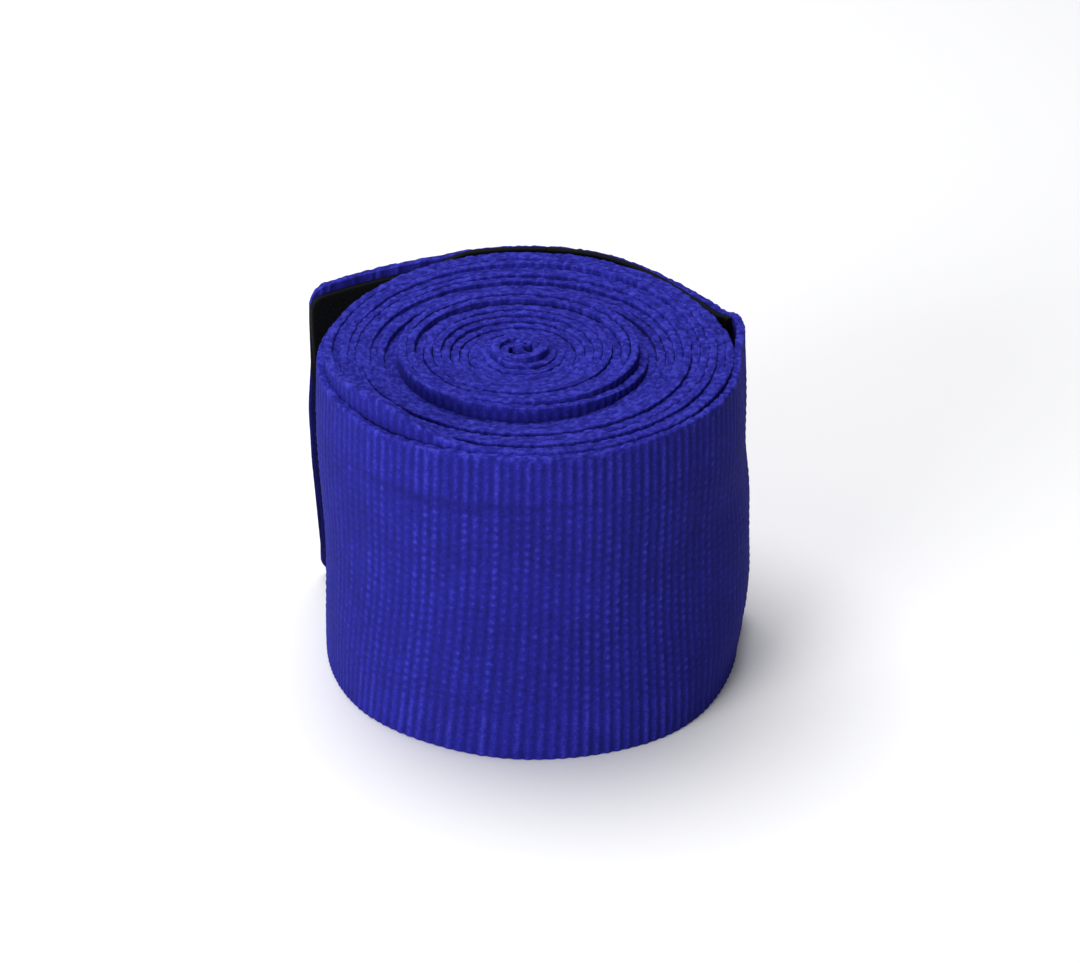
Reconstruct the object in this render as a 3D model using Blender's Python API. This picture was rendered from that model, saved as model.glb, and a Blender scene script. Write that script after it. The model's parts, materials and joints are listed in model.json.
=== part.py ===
# Rolled elastic hand wrap, standing on the lower edge of its band, with its hook tape closed.
# Metres, +Z up. The roll's axis is vertical. Seen from above, the band winds outwards anticlockwise,
# passes the front (-Y), leaves the roll at the right (+X) and closes behind it (+Y).

import math

import bmesh
import bpy
from mathutils import Matrix, Vector

# Band: woven elastic, standing on its edge
BAND_WIDTH = 0.050
BAND_THICKNESS = 0.00085
GAP = 0.0003                      # between neighbouring layers
PITCH = BAND_THICKNESS + GAP      # growth of the roll for one turn

# Roll
STEPS = 64                        # finest division of a turn, which all layers share
ROOT_STEP = 3                     # where the tail starts, in steps anticlockwise of +X
ROOT_RADIUS = 0.0304              # middle of the band there, before it rises over the tape
EYE_RADIUS = 0.0016               # middle of the doubled thumb loop at the core
LOOP_TURNS = 2.4                  # turns that the doubled thumb loop takes
COARSE_RADIUS = 0.010             # inside this the turns are divided four times more coarsely

# Tail: the last stretch of the band, which the hook tape closes
SEGMENTS = 4
SEGMENT_STEPS = 6
TAPE_THICKNESS = 0.0009
TAPE_LOW = 0.0018                 # lower edge of the tape
TAIL_LOW = 0.0003                 # lower edge of the tail, just off the floor
PATCH_THICKNESS = 0.0006
PATCH_INSET = 0.003               # from the band's edges
PATCH_STEPS = (7, 25)             # first and last step of the loop patch
TAPE_MARGIN = 0.0022              # band left bare before and after the tape
CORNER_RADIUS = 0.003             # rounded corners of the free end
RISE_START = math.radians(-8)     # where the outermost turn starts to climb over tape and patch
RISE_END = math.radians(37)
FLARE_START = math.radians(118)   # where the free end starts to stand off the roll
FLARE = 0.0016

# Sewing
THREAD_THICKNESS = 0.0003
THREAD_GAP = 0.0001
SEAM_WIDTH = 0.0008
SEAM_INSET = 0.0015               # from the edge of what is sewn
PATCH_THREAD_THICKNESS = 0.0002   # pressed flat between the patch and the hooks
PATCH_THREAD_GAP = 0.00005
BARTACK_INSET = 0.006             # from the band's edges

STEP = 2 * math.pi / STEPS
ROOT_ANGLE = ROOT_STEP * STEP
END_ANGLE = ROOT_ANGLE + SEGMENTS * SEGMENT_STEPS * STEP
BAND_START_RADIUS = EYE_RADIUS + (2 * LOOP_TURNS + 0.5) * PITCH
BAND_START_ANGLE = ROOT_ANGLE - (ROOT_RADIUS - BAND_START_RADIUS) / PITCH * 2 * math.pi

# Height of each turn's lower edge against the turn's radius, as the roll telescopes a little
LIFT_PROFILE = (
    (0.0000, 0.0016), (0.0034, 0.0016), (0.0058, 0.0007), (0.0085, 0.0013),
    (0.0150, 0.0017), (0.0168, 0.0017), (0.0177, 0.0000), (0.0226, 0.0000),
    (0.0238, 0.0003), (0.0244, 0.0000), (0.0253, 0.0005), (0.0270, 0.0005),
    (0.0277, 0.0001), (0.0290, 0.0004),
)
OUTER_TURN_START = ROOT_ANGLE - 2 * math.pi
PROUD_HEIGHT = 0.0036             # the turn under the outermost stands this proud at the front left
PROUD_ANGLE = math.radians(-128)
PROUD_SPREAD = math.radians(26)
PROUD_RADIUS = 0.0288
PROUD_DEPTH = 0.0006              # keeps the proud place to that one turn


def smooth(value):
    value = min(max(value, 0.0), 1.0)
    return value * value * (3 - 2 * value)


def spiral_radius(angle):
    """Middle of the band at an angle counted from +X through every turn."""
    return ROOT_RADIUS + PITCH * (angle - ROOT_ANGLE) / (2 * math.pi)


def rise(angle):
    """How far the outermost layer stands out to leave room for the tape and the patch."""
    full = PATCH_THICKNESS + TAPE_THICKNESS + 2 * GAP
    return full * smooth((angle - RISE_START) / (RISE_END - RISE_START))


def band_radius(angle):
    return spiral_radius(angle) + rise(angle)


def tail_radius(angle):
    return band_radius(angle) + FLARE * smooth((angle - FLARE_START) / (END_ANGLE - FLARE_START))


def tape_radius(angle):
    return tail_radius(angle) - BAND_THICKNESS / 2 - GAP - TAPE_THICKNESS / 2


def tape_seam_radius(angle):
    return tail_radius(angle) + BAND_THICKNESS / 2 + THREAD_GAP + THREAD_THICKNESS / 2


def patch_radius(angle):
    under = spiral_radius(angle - 2 * math.pi)
    return under + BAND_THICKNESS / 2 + GAP + PATCH_THICKNESS / 2


def lift(angle):
    """Height of the band's lower edge. The outermost turn stands on the floor."""
    if angle >= OUTER_TURN_START:
        return 0.0
    radius = spiral_radius(angle)
    height = LIFT_PROFILE[-1][1]
    for (r0, z0), (r1, z1) in zip(LIFT_PROFILE, LIFT_PROFILE[1:]):
        if radius < r1:
            height = z0 + (z1 - z0) * smooth((radius - r0) / (r1 - r0))
            break
    turned = math.remainder(angle - PROUD_ANGLE, 2 * math.pi)
    across = (radius - PROUD_RADIUS) / PROUD_DEPTH
    proud = PROUD_HEIGHT * math.exp(-(turned / PROUD_SPREAD) ** 2 - across**2)
    fade = smooth((OUTER_TURN_START - angle) / math.radians(40))
    return fade * height + proud


def tail_top(angle):
    """Upper edge of the tail: drawn in by the sewing on the right, full width at the free end."""
    drawn_in = 0.0012 * smooth((angle - RISE_START) / math.radians(30))
    spread = 0.0012 * smooth((angle - math.radians(70)) / math.radians(60))
    return BAND_WIDTH - drawn_in + spread


def polar(radius, angle):
    return radius * math.cos(angle), radius * math.sin(angle)


def corner_cut(distance, radius):
    """How far a rounded corner takes the edge back, at a distance from the end."""
    if distance >= radius:
        return 0.0
    return radius - math.sqrt(radius**2 - (radius - distance) ** 2)


def cloth_material(name, colour, roughness):
    material = bpy.data.materials.new(name)
    material.use_nodes = True
    shader = material.node_tree.nodes["Principled BSDF"]
    shader.inputs["Base Color"].default_value = (*colour, 1.0)
    shader.inputs["Roughness"].default_value = roughness
    shader.inputs["Metallic"].default_value = 0.0
    return material


def cloth(name, path, levels, thickness, material, hinge=None, ties=None):
    """A strip of cloth: its path is drawn at the lower level and extruded up to each further one.

    levels holds one list of heights for each level. ties leaves the middle row open, except in
    the first column, the last column or both, which makes an outline of sewing.
    """
    mesh_bm = bmesh.new()
    station = mesh_bm.verts.layers.int.new("station")
    row = mesh_bm.verts.layers.int.new("row")
    chain = []
    for index, (x, y) in enumerate(path):
        vertex = mesh_bm.verts.new((x, y, levels[0][index]))
        vertex[station] = index
        chain.append(vertex)
    edges = [mesh_bm.edges.new(pair) for pair in zip(chain, chain[1:])]
    for number, heights in enumerate(levels[1:], start=1):
        grown = bmesh.ops.extrude_edge_only(mesh_bm, edges=edges)["geom"]
        top = {item for item in grown if isinstance(item, bmesh.types.BMVert)}
        edges = [item for item in grown if isinstance(item, bmesh.types.BMEdge) and set(item.verts) <= top]
        for vertex in top:
            vertex.co.z = heights[vertex[station]]
            vertex[row] = number
    if ties is not None:
        tied = [column for column, kept in zip((0, len(path) - 2), ties) if kept]
        opened = [
            face for face in mesh_bm.faces
            if min(vertex[row] for vertex in face.verts) == 1
            and min(vertex[station] for vertex in face.verts) not in tied
        ]
        bmesh.ops.delete(mesh_bm, geom=opened, context="FACES")
    mesh = bpy.data.meshes.new(name)
    mesh_bm.to_mesh(mesh)
    mesh_bm.free()
    mesh.materials.append(material)
    strip = bpy.data.objects.new(name, mesh)
    bpy.context.collection.objects.link(strip)
    if hinge is not None:
        mesh.transform(Matrix.Translation(-world_place(hinge)))
        strip.parent = hinge
    solid = strip.modifiers.new("Thickness", "SOLIDIFY")
    solid.thickness = thickness
    solid.offset = 0.0
    solid.use_even_offset = True
    return strip


def world_place(empty):
    place = empty.location.copy()
    while empty.parent:
        empty = empty.parent
        place += empty.location
    return place


def strip_between(name, angles, radius_of, low_of, high_of, thickness, material, hinge=None):
    path = [polar(radius_of(angle), angle) for angle in angles]
    levels = [[low_of(angle) for angle in angles], [high_of(angle) for angle in angles]]
    return cloth(name, path, levels, thickness, material, hinge)


def seam_outline(name, angles, radius_of, low_of, high_of, thickness, material, hinge=None, ties=(1, 1)):
    """Two rows of stitches and the rows that tie their ends, as one piece."""
    path = [polar(radius_of(angle), angle) for angle in angles]
    levels = [
        [low_of(angle) for angle in angles],
        [low_of(angle) + SEAM_WIDTH for angle in angles],
        [high_of(angle) - SEAM_WIDTH for angle in angles],
        [high_of(angle) for angle in angles],
    ]
    return cloth(name, path, levels, thickness, material, hinge, ties)


def steps_between(start, stop, coarse=1):
    """Both ends and every shared division between them."""
    grid = STEP * coarse
    first = math.floor(start / grid + 1e-6) + 1
    last = math.ceil(stop / grid - 1e-6) - 1
    return [start] + [index * grid for index in range(first, last + 1)] + [stop]


def make_band(material):
    """The wound band, from the thumb loop's seam to the tail."""
    coarse_end = ROOT_ANGLE - (ROOT_RADIUS - COARSE_RADIUS) / PITCH * 2 * math.pi
    coarse_end = round(coarse_end / (4 * STEP)) * 4 * STEP
    fine_start = math.floor(RISE_START / (2 * STEP)) * 2 * STEP
    root = ROOT_ANGLE - GAP / 2 / tail_radius(ROOT_ANGLE)
    angles = steps_between(BAND_START_ANGLE, coarse_end, 4)
    angles += steps_between(coarse_end, fine_start, 2)[1:]
    angles += steps_between(fine_start, root)[1:]
    return strip_between(
        "wrap_band", angles, band_radius, lift,
        lambda angle: lift(angle) + (tail_top(angle) if angle > RISE_START else BAND_WIDTH),
        BAND_THICKNESS, material,
    )


def make_thumb_loop(material):
    """The band's first stretch, doubled back on itself: a flat loop wound up at the core."""
    eye_angle = BAND_START_ANGLE - LOOP_TURNS * 2 * math.pi
    last = BAND_START_ANGLE - GAP / BAND_START_RADIUS

    def middle(angle):
        return EYE_RADIUS + 2 * PITCH * (angle - eye_angle) / (2 * math.pi)

    angles = steps_between(eye_angle, last, 4)
    outer = [polar(middle(angle) + PITCH / 2, angle) for angle in reversed(angles)]
    inner = [polar(middle(angle) - PITCH / 2, angle) for angle in angles]
    fold = []
    centre = Vector(polar(EYE_RADIUS, eye_angle))
    for degrees in (36, 72, 108, 144):
        turn = eye_angle - math.radians(degrees)
        fold.append(tuple(centre + Vector(polar(PITCH / 2, turn))))
    path = outer + fold + inner
    low = [lift(angle) for angle in reversed(angles)] + [lift(eye_angle)] * len(fold)
    low += [lift(angle) for angle in angles]
    high = [height + BAND_WIDTH for height in low]
    return cloth("thumb_loop", path, [low, high], BAND_THICKNESS, material)


def make_bartack(material):
    """Dense block of stitches that holds the loop's inner end to the start of the band."""
    start = (math.floor(BAND_START_ANGLE / (4 * STEP)) + 1) * 4 * STEP
    angles = [start, start + 4 * STEP]

    def radius_of(angle):
        return spiral_radius(angle) - BAND_THICKNESS / 2 - THREAD_GAP - THREAD_THICKNESS / 2

    base = lift(BAND_START_ANGLE)
    return strip_between(
        "thumb_loop_bartack", angles, radius_of,
        lambda angle: base + BARTACK_INSET, lambda angle: base + BAND_WIDTH - BARTACK_INSET,
        THREAD_THICKNESS, material,
    )


def make_patch(loop_material, thread_material):
    """The loop patch on the turn below the tail, which the hook tape grips, and its outline seam."""
    angles = steps_between(PATCH_STEPS[0] * STEP, PATCH_STEPS[1] * STEP)
    low, high = PATCH_INSET, BAND_WIDTH - PATCH_INSET
    strip_between(
        "loop_patch", angles, patch_radius, lambda angle: low, lambda angle: high,
        PATCH_THICKNESS, loop_material,
    )

    def seam_radius(angle):
        return patch_radius(angle) + PATCH_THICKNESS / 2 + PATCH_THREAD_GAP + PATCH_THREAD_THICKNESS / 2

    seam_outline(
        "loop_patch_stitching", angles[1:-1], seam_radius,
        lambda angle: low + SEAM_INSET, lambda angle: high - SEAM_INSET,
        PATCH_THREAD_THICKNESS, thread_material,
    )


def make_hinges():
    """One empty for each hinge, on the outer face of the tail, where the next stretch starts."""
    hinges = []
    for number in range(SEGMENTS):
        angle = ROOT_ANGLE + number * SEGMENT_STEPS * STEP
        radius = tail_radius(angle) + BAND_THICKNESS / 2 + THREAD_GAP + THREAD_THICKNESS
        hinge = bpy.data.objects.new(f"tail_hinge_{number + 1}", None)
        bpy.context.collection.objects.link(hinge)
        place = Vector((*polar(radius, angle), 0.0))
        if hinges:
            hinge.parent = hinges[-1]
            place -= world_place(hinges[-1])
        hinge.location = place
        hinges.append(hinge)
    return hinges


def tape_high(angle):
    """Upper edge of the tape: just above the band's at the back, below it at the free end."""
    skew = 0.0006 * smooth((angle - math.radians(110)) / math.radians(35))
    return BAND_WIDTH - 0.0002 - skew


def seam_low(angle):
    return TAPE_LOW + SEAM_INSET


def seam_high(angle):
    return min(tape_high(angle), tail_top(angle)) - SEAM_INSET


def make_tail_band(number, start, stop, hinge, material):
    """One stretch of the tail's band. The last one ends in rounded corners."""
    last = number == SEGMENTS
    end_radius = tail_radius(stop)
    angles = steps_between(start, stop)
    if last:
        corner_angle = CORNER_RADIUS / end_radius
        angles = sorted(angles + [stop - part * corner_angle for part in (0.75, 0.45, 0.2, 0.05)])

    def cut(angle):
        return corner_cut((stop - angle) * end_radius, CORNER_RADIUS) if last else 0.0

    strip_between(
        f"tail_band_{number}", angles, tail_radius,
        lambda angle: TAIL_LOW + cut(angle), lambda angle: tail_top(angle) - cut(angle),
        BAND_THICKNESS, material, hinge,
    )


def make_tape_seam(number, start, stop, hinge, material):
    """The stitches of one stretch of tape, on the tail's outer face: two rows, tied at the tape's ends."""
    first, last = number == 1, number == SEGMENTS
    radius = tail_radius(stop)
    start += SEAM_INSET / radius if first else 0.0
    stop -= SEAM_INSET / radius if last else 0.0
    angles = steps_between(start, stop)
    if first:
        angles.insert(1, start + SEAM_WIDTH / radius)
    if last:
        angles.insert(-1, stop - SEAM_WIDTH / radius)
    if first or last:
        seam_outline(
            f"tape_stitching_{number}", angles, tape_seam_radius, seam_low, seam_high,
            THREAD_THICKNESS, material, hinge, (first, last),
        )
        return
    strip_between(
        f"tape_stitching_{number}_upper", angles, tape_seam_radius,
        lambda angle: seam_high(angle) - SEAM_WIDTH, seam_high, THREAD_THICKNESS, material, hinge,
    )
    strip_between(
        f"tape_stitching_{number}_lower", angles, tape_seam_radius,
        seam_low, lambda angle: seam_low(angle) + SEAM_WIDTH, THREAD_THICKNESS, material, hinge,
    )


def make_tail(band_material, tape_material, thread_material):
    for number, hinge in enumerate(make_hinges(), start=1):
        start = ROOT_ANGLE + (number - 1) * SEGMENT_STEPS * STEP
        stop = start + SEGMENT_STEPS * STEP
        half_gap = GAP / 2 / tail_radius(start)
        make_tail_band(number, start + half_gap, stop - half_gap, hinge, band_material)
        tape_start = start + (TAPE_MARGIN / tail_radius(start) if number == 1 else half_gap)
        tape_stop = stop - (TAPE_MARGIN / tail_radius(stop) if number == SEGMENTS else half_gap)
        strip_between(
            f"hook_tape_{number}", steps_between(tape_start, tape_stop), tape_radius,
            lambda angle: TAPE_LOW, tape_high, TAPE_THICKNESS, tape_material, hinge,
        )
        make_tape_seam(number, tape_start, tape_stop, hinge, thread_material)


def centre_over_origin():
    """Moves the whole model so that its box stands centred on the origin."""
    bpy.context.view_layer.update()
    graph = bpy.context.evaluated_depsgraph_get()
    corners = []
    for piece in bpy.data.objects:
        if piece.type == "MESH":
            evaluated = piece.evaluated_get(graph)
            corners += [evaluated.matrix_world @ Vector(corner) for corner in evaluated.bound_box]
    low = Vector(min(corner[axis] for corner in corners) for axis in range(3))
    high = Vector(max(corner[axis] for corner in corners) for axis in range(3))
    shift = Vector(((low.x + high.x) / 2, (low.y + high.y) / 2, low.z))
    for piece in bpy.data.objects:
        if piece.parent is None:
            piece.location -= shift


def main():
    for leftover in list(bpy.data.objects):
        bpy.data.objects.remove(leftover)
    band_blue = cloth_material("woven_elastic_blue", (0.022, 0.022, 0.40), 0.9)
    tape_black = cloth_material("hook_tape_black", (0.010, 0.010, 0.011), 0.7)
    patch_black = cloth_material("loop_pile_black", (0.012, 0.012, 0.014), 0.95)
    thread_blue = cloth_material("polyester_thread_blue", (0.018, 0.018, 0.26), 0.6)
    thread_black = cloth_material("polyester_thread_black", (0.012, 0.012, 0.014), 0.6)
    make_band(band_blue)
    make_thumb_loop(band_blue)
    make_bartack(thread_blue)
    make_patch(patch_black, thread_black)
    make_tail(band_blue, tape_black, thread_black)
    centre_over_origin()


main()
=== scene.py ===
# Rolled elastic hand wrap, standing on its edge with its hook tape closed.
# Metres, +Z up. The roll's axis is vertical; angles are counted from +X, anticlockwise from above.

import json
import math

import bmesh
import bpy
import numpy as np
from mathutils import Matrix, Vector


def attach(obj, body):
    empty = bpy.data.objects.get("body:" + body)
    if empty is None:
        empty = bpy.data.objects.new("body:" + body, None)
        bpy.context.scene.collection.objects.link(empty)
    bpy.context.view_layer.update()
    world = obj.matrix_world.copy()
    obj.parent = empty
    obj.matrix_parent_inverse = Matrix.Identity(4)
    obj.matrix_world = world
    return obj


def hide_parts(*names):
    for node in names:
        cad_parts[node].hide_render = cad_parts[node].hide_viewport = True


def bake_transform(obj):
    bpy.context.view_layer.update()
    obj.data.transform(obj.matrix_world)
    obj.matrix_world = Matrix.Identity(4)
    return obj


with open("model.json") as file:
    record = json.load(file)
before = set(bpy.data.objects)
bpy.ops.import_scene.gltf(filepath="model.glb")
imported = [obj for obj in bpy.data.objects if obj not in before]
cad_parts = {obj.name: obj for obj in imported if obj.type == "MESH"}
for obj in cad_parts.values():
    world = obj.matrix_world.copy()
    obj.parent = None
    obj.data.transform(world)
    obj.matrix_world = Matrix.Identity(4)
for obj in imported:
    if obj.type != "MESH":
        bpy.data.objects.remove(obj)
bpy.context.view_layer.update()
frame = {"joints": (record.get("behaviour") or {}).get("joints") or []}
fullTurn = 2 * math.pi

# The roll as the frame has it
roll = {
    "width": 0.050,
    "pitch": 0.00115,                  # growth for one turn
    "rootAngle": math.radians(16.875),  # where the tail starts
    "rootRadius": 0.0304,
    "tapeRoom": 0.0021,                # how far the outermost layer climbs over tape and patch
    "climb": (math.radians(-8), math.radians(37)),
    "solidHalf": 0.000425,             # half the thickness of the frame's band
    "solidGap": 0.0001,                # between that band and what is sewn to it
    "seamThickness": 0.0003,
    "startRadius": 0.007695,           # where the doubled thumb loop ends and the single band starts
}
bandStart = roll["rootAngle"] - (roll["rootRadius"] - roll["startRadius"]) / roll["pitch"] * fullTurn

# Cloth of the band: cords of yarn across it, and the plain edge on both sides
band = {
    "halfThickness": 0.0006,
    "edgeRound": 0.00017,
    "cordPitch": 0.00143,
    "cordHeight": 0.0002,
    "beadLength": 0.00143,
    "border": 0.0068,                  # plain cords at both edges
    "grain": 0.00062,                  # yarn loops along the cut-free edge
}

# Height of each turn's lower edge against its radius, in millimetres
liftTable = (
    (0.0, 2.1), (1.2, 1.9), (2.0, 0.9), (3.2, 1.6), (4.6, 0.4), (6.0, 0.0), (7.5, -0.2), (9.0, 0.1),
    (10.5, 0.5), (12.4, 1.0), (13.3, 1.0), (14.2, 0.4), (15.3, 1.2), (16.2, 1.6), (17.3, 1.5),
    (17.9, -1.0), (19.4, -0.9), (20.5, -0.1), (21.3, -0.3), (23.0, 0.3), (23.6, 0.5), (24.2, -0.2),
    (24.8, 0.1), (25.6, 0.5), (27.2, 0.4), (27.8, -0.1), (28.5, 0.4), (29.4, 0.5),
)
# The one turn that stands out of the others at the front left
proud = {
    "height": 0.0034,
    "angle": -134,                     # degrees
    "spread": (math.radians(36), math.radians(17)),
    "radius": 0.0288,
    "depth": 0.0006,
}
# The outer turns stand a little higher at the back
backRise = {"height": 0.0013, "angle": 85, "spread": math.radians(62), "radius": 0.021, "over": 0.007}

hinge = next(Vector(joint["pos_m"]) for joint in frame["joints"] if joint["name"] == "tail_peel_1")


def smooth(value):
    value = np.clip(value, 0.0, 1.0)
    return value * value * (3 - 2 * value)


# Angle from a direction given in degrees, at most half a turn either way
def awayFrom(angle, degrees):
    return (angle - math.radians(degrees) + math.pi) % fullTurn - math.pi


def turnRadius(angle):
    return roll["rootRadius"] + roll["pitch"] * (angle - roll["rootAngle"]) / fullTurn


def bandRadius(angle):
    start, end = roll["climb"]
    return turnRadius(angle) + roll["tapeRoom"] * smooth((angle - start) / (end - start))


hingeRadius = float(bandRadius(roll["rootAngle"]))
hingeRadius = hingeRadius + roll["solidHalf"] + roll["solidGap"] + roll["seamThickness"]
axisX = hinge.x - hingeRadius * math.cos(roll["rootAngle"])
axisY = hinge.y - hingeRadius * math.sin(roll["rootAngle"])
print("roll axis", round(axisX, 6), round(axisY, 6))


# Slow waves: a fixed sum of sines, so every run is the same
def waves(place, period, seed, count=4):
    dice = np.random.default_rng(seed)
    total = np.zeros_like(place)
    for _ in range(count):
        stretch = period * dice.uniform(0.6, 1.7)
        total = total + np.sin(place * (fullTurn / stretch) + dice.uniform(0, fullTurn))
    return total / count


# Soft random grain: values on a lattice, blended between its points
def grain(along, across, seed):
    table = np.random.default_rng(seed).random((1024, 256))
    i, j = np.floor(along).astype(int), np.floor(across).astype(int)
    u, v = smooth(along - i), smooth(across - j)
    near = table[i % 1024, j % 256] * (1 - v) + table[i % 1024, (j + 1) % 256] * v
    far = table[(i + 1) % 1024, j % 256] * (1 - v) + table[(i + 1) % 1024, (j + 1) % 256] * v
    return near * (1 - u) + far * u


# How high the lower edge of a turn stands
def lift(angle, radius):
    radius = radius * 1000
    low = np.zeros_like(radius) + liftTable[-1][1]
    for (r0, z0), (r1, z1) in reversed(list(zip(liftTable, liftTable[1:]))):
        low = np.where(radius < r1, z0 + (z1 - z0) * smooth((radius - r0) / (r1 - r0)), low)
    turned = awayFrom(angle, proud["angle"])
    across = (radius / 1000 - proud["radius"]) / proud["depth"]
    spread = np.where(turned < 0, proud["spread"][0], proud["spread"][1])
    stand = proud["height"] * np.exp(-(turned / spread) ** 2 - across ** 2)
    fade = smooth((roll["rootAngle"] - fullTurn - angle) / math.radians(40))
    own = 0.00012 * waves(angle, 2.3, 11, 6) + 0.00006 * waves(angle, 0.5, 12, 4)
    outer = smooth((radius / 1000 - backRise["radius"]) / backRise["over"])
    fromBack = awayFrom(angle, backRise["angle"])
    back = backRise["height"] * outer * np.exp(-(fromBack / backRise["spread"]) ** 2)
    return fade * (low / 1000 + own + back) + stand


# The core of the roll stands a little left of its middle
def coreShift(radius):
    share = 1 - smooth((radius - 0.014) / 0.015)
    return -0.0010 * share, -0.0005 * share


# The single band closes in on the loop where it starts, and gives that back over eight turns
def windRadius(angle):
    past = (angle - bandStart) / fullTurn
    return turnRadius(angle) - roll["pitch"] * smooth(past / 0.14) * np.clip(1 - past / 8, 0, 1)


def newObject(name, mesh):
    made = bpy.data.objects.new(name, mesh)
    bpy.context.scene.collection.objects.link(made)
    return made


# Rows round a strip's section, from the middle of its inner face: (across the band, outwards -1 to 1)
def sectionRows(faceRows, innerRows, edgeRows, width, edge):
    def corner(count):
        turns = [math.pi * part for part in np.linspace(0, 1, count + 2)[1:-1]]
        rises = [edge * math.sin(turn) ** 0.6 for turn in turns]
        outs = [math.copysign(abs(math.cos(turn)) ** 0.8, math.cos(turn)) for turn in turns]
        return list(zip(rises, outs))
    inner = [(width / 2 - (width / 2 - edge) * part, -1.0) for part in np.linspace(0, 1, innerRows)]
    low = [(edge - rise, -out) for rise, out in corner(edgeRows[0])]
    face = [(place, 1.0) for place in faceRows]
    high = [(width - edge + rise, out) for rise, out in corner(edgeRows[1])]
    back = [(width - edge - (width / 2 - edge) * part, -1.0) for part in np.linspace(0, 1, innerRows)]
    rows = np.array(inner + low + face + high + back)
    return rows[:, 0], rows[:, 1]


# A closed strip from one grid: columns run along the cloth and rows round its section
def closedStrip(name, points, along, across, relief):
    columns, rows = points.shape[:2]
    mesh = bpy.data.meshes.new(name)
    grid = bmesh.new()
    grid.loops.layers.uv.new("UVMap")
    bmesh.ops.create_grid(grid, x_segments=columns - 1, y_segments=rows - 1, size=1.0, calc_uvs=True)
    grid.to_mesh(mesh)
    grid.free()
    flat = np.empty(len(mesh.vertices) * 3)
    mesh.vertices.foreach_get("co", flat)
    flat = flat.reshape(-1, 3)
    column = np.rint((flat[:, 0] + 1) / 2 * (columns - 1)).astype(int)
    row = np.rint((flat[:, 1] + 1) / 2 * (rows - 1)).astype(int)
    mesh.vertices.foreach_set("co", points[column, row].ravel())
    tone = mesh.attributes.new("relief", "FLOAT", "POINT")
    tone.data.foreach_set("value", relief[column, row].astype(np.float32))
    corner = np.empty(len(mesh.loops), dtype=np.int32)
    mesh.loops.foreach_get("vertex_index", corner)
    layout = np.stack([along[column[corner], row[corner]], across[column[corner], row[corner]]], axis=1)
    mesh.uv_layers["UVMap"].data.foreach_set("uv", layout.ravel())
    body = bmesh.new()
    body.from_mesh(mesh)
    bmesh.ops.remove_doubles(body, verts=[vertex for vertex in body.verts if vertex.is_boundary], dist=1e-7)
    for face in body.faces:
        face.smooth = True
    ends = bmesh.ops.holes_fill(body, edges=[edge for edge in body.edges if edge.is_boundary], sides=0)
    for face in ends["faces"]:
        face.smooth = False
    bmesh.ops.recalc_face_normals(body, faces=body.faces[:])
    body.to_mesh(mesh)
    body.free()
    return newObject(name, mesh)


# Colours are written as sRGB hex values
def linear(colour):
    parts = [int(colour[place:place + 2], 16) / 255 for place in (1, 3, 5)]
    return (*[part / 12.92 if part <= 0.04045 else ((part + 0.055) / 1.055) ** 2.4 for part in parts], 1.0)


def addNode(tree, kind, settings=(), links=()):
    node = tree.nodes.new(kind)
    for name, value in dict(settings).items():
        if isinstance(name, int) or name in node.inputs:
            node.inputs[name].default_value = value
        else:
            setattr(node, name, value)
    for name, source in dict(links).items():
        tree.links.new(source, node.inputs[name])
    return node


def newMaterial(name, shader):
    material = bpy.data.materials.new(name)
    material.use_nodes = True
    principled = material.node_tree.nodes["Principled BSDF"]
    for socket, value in shader.items():
        principled.inputs[socket].default_value = value
    return material, material.node_tree, principled


# Mapping that makes a pattern's scale count per millimetre
toMillimetres = {"Scale": (1000, 1000, 1000)}

# The darkest colour is painted shade for grooves, creases, hidden faces and gaps between turns; the palest is
# painted sheen on the raised yarns; the middle one is the cloth's own blue
clothLook = {
    "paintedShade": "#10104c",
    "yarn": "#1e1e82",
    "paintedSheen": "#3a3cae",
}
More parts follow.
